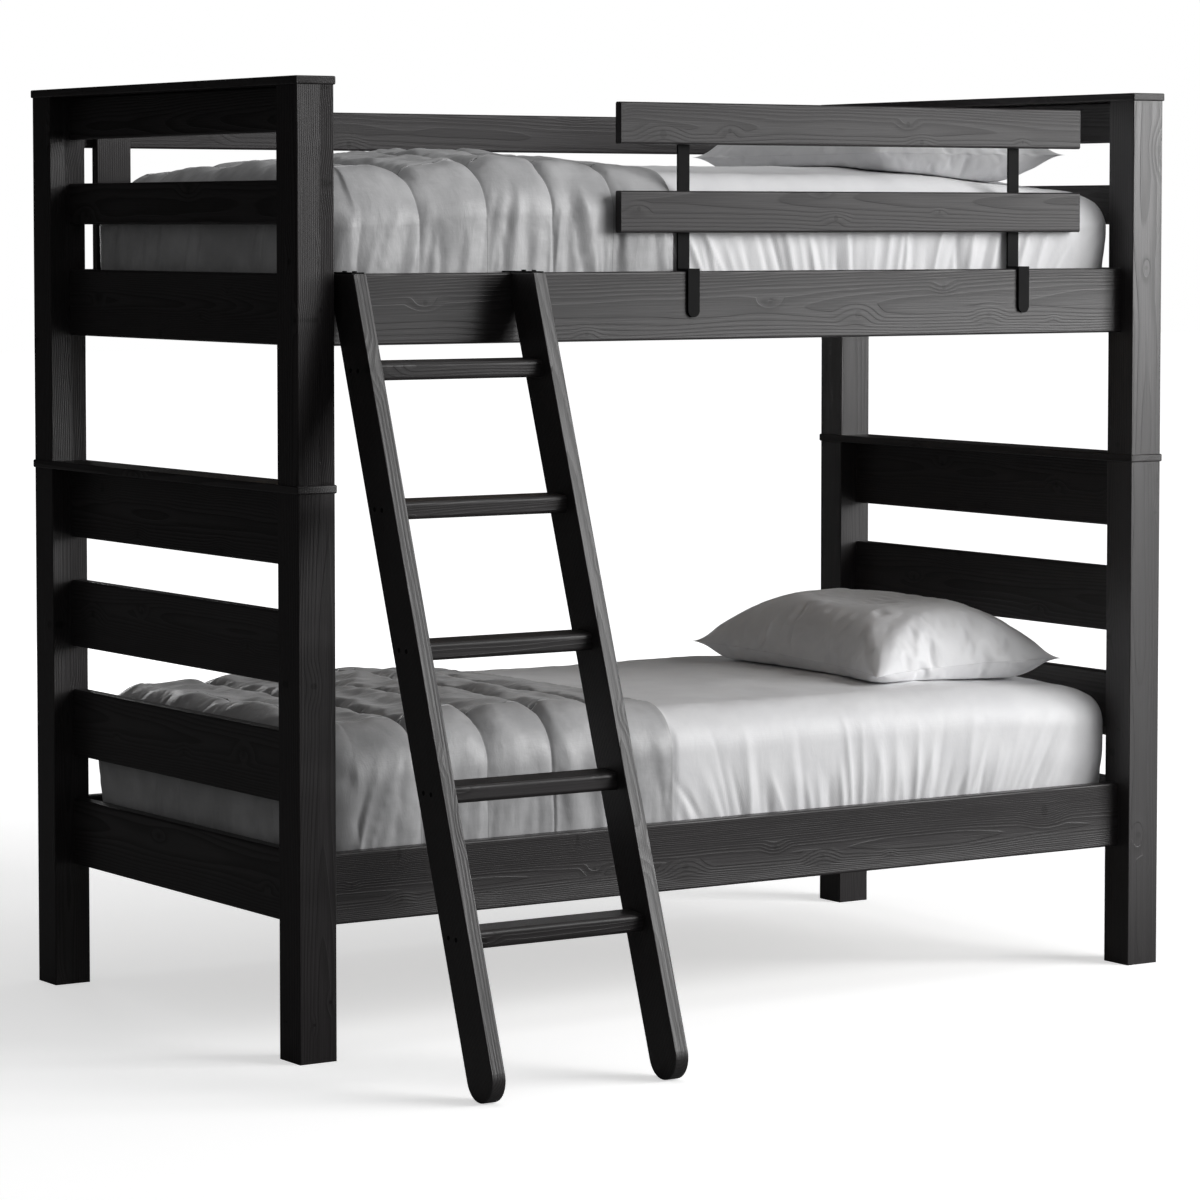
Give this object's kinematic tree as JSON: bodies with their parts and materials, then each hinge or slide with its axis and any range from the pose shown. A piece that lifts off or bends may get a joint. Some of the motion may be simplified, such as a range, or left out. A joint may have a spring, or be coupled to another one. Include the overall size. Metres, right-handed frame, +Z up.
{
  "type": "bunk bed",
  "caption": "Wooden bunk bed with slanted ladder, hook-on guard rail, plank end panels, mattresses, quilts and pillows.",
  "frame": {"origin": "middle of the whole object footprint, ladder included, at floor level", "axes": "+X along the bed from the ladder end to the pillows, -Y towards the ladder foot, +Z up"},
  "size_m": [2.0764, 1.6244, 1.829],
  "materials": {
    "stained_wood": "dark charcoal stain under satin lacquer",
    "pine": "planed, unfinished",
    "black_steel": "satin black powder coat",
    "zinc_steel": "bright zinc",
    "fitted_sheet": "white sateen cotton",
    "pillowcase": "white sateen cotton",
    "quilt": "grey satin-weave quilt with sewn channels"
  },
  "bodies": {
    "lower_bed": {"lower_back_side_rail": "stained_wood", "lower_front_side_rail": "stained_wood", "lower_left_back_post": "stained_wood", "lower_left_cap": "stained_wood", "lower_left_end_board_1": "stained_wood", "lower_left_end_board_2": "stained_wood", "lower_left_end_board_3": "stained_wood", "lower_left_end_board_4": "stained_wood", "lower_left_front_post": "stained_wood", "lower_rail_hook_plates": "zinc_steel", "lower_right_back_post": "stained_wood", "lower_right_cap": "stained_wood", "lower_right_end_board_1": "stained_wood", "lower_right_end_board_2": "stained_wood", "lower_right_end_board_3": "stained_wood", "lower_right_end_board_4": "stained_wood", "lower_right_front_post": "stained_wood", "lower_slat_cleats": "pine", "lower_slats": "pine", "stacking_pins": "zinc_steel"},
    "upper_bed": {"rear_guard_board": "stained_wood", "rear_guard_screws": "zinc_steel", "rear_guard_uprights": "stained_wood", "upper_back_side_rail": "stained_wood", "upper_front_side_rail": "stained_wood", "upper_left_back_post": "stained_wood", "upper_left_cap": "stained_wood", "upper_left_end_board_1": "stained_wood", "upper_left_end_board_2": "stained_wood", "upper_left_end_board_3": "stained_wood", "upper_left_front_post": "stained_wood", "upper_rail_hook_plates": "zinc_steel", "upper_right_back_post": "stained_wood", "upper_right_cap": "stained_wood", "upper_right_end_board_1": "stained_wood", "upper_right_end_board_2": "stained_wood", "upper_right_end_board_3": "stained_wood", "upper_right_front_post": "stained_wood", "upper_slat_cleats": "pine", "upper_slats": "pine"},
    "ladder": {"ladder_hooks": "black_steel", "ladder_left_stile": "stained_wood", "ladder_right_stile": "stained_wood", "ladder_screws": "black_steel", "ladder_tread_1": "stained_wood", "ladder_tread_2": "stained_wood", "ladder_tread_3": "stained_wood", "ladder_tread_4": "stained_wood", "ladder_tread_5": "stained_wood"},
    "guard_rail": {"guard_left_bracket": "black_steel", "guard_lower_board": "stained_wood", "guard_right_bracket": "black_steel", "guard_screws": "zinc_steel", "guard_upper_board": "stained_wood"},
    "mattress_lower": {"lower_mattress": "fitted_sheet"},
    "comforter_lower": {"lower_comforter": "quilt"},
    "pillow_lower": {"lower_pillow": "pillowcase"},
    "mattress_upper": {"upper_mattress": "fitted_sheet"},
    "comforter_upper": {"upper_comforter": "quilt"},
    "pillow_upper": {"upper_pillow": "pillowcase"}
  },
  "joints": [
    {"name": "upper_bed_lift", "type": "slide", "parent": "lower_bed", "child": "upper_bed", "axis": [0, 0, 1], "range_m": [0, 0.06]},
    {"name": "ladder_lift", "type": "slide", "parent": "upper_bed", "child": "ladder", "axis": [0, 0, 1], "range_m": [0, 0.06]},
    {"name": "guard_rail_lift", "type": "slide", "parent": "upper_bed", "child": "guard_rail", "axis": [0, 0, 1], "range_m": [0, 0.1]},
    {"name": "lower_mattress_lift", "type": "slide", "parent": "lower_bed", "child": "mattress_lower", "axis": [0, 0, 1], "range_m": [0, 0.25]},
    {"name": "lower_comforter_lift", "type": "slide", "parent": "mattress_lower", "child": "comforter_lower", "axis": [0, 0, 1], "range_m": [0, 0.15]},
    {"name": "lower_pillow_lift", "type": "slide", "parent": "mattress_lower", "child": "pillow_lower", "axis": [0, 0, 1], "range_m": [0, 0.2]},
    {"name": "upper_mattress_lift", "type": "slide", "parent": "upper_bed", "child": "mattress_upper", "axis": [0, 0, 1], "range_m": [0, 0.06]},
    {"name": "upper_comforter_lift", "type": "slide", "parent": "mattress_upper", "child": "comforter_upper", "axis": [0, 0, 1], "range_m": [0, 0.045]},
    {"name": "upper_pillow_lift", "type": "slide", "parent": "mattress_upper", "child": "pillow_upper", "axis": [0, 0, 1], "range_m": [0, 0.25]}
  ]
}
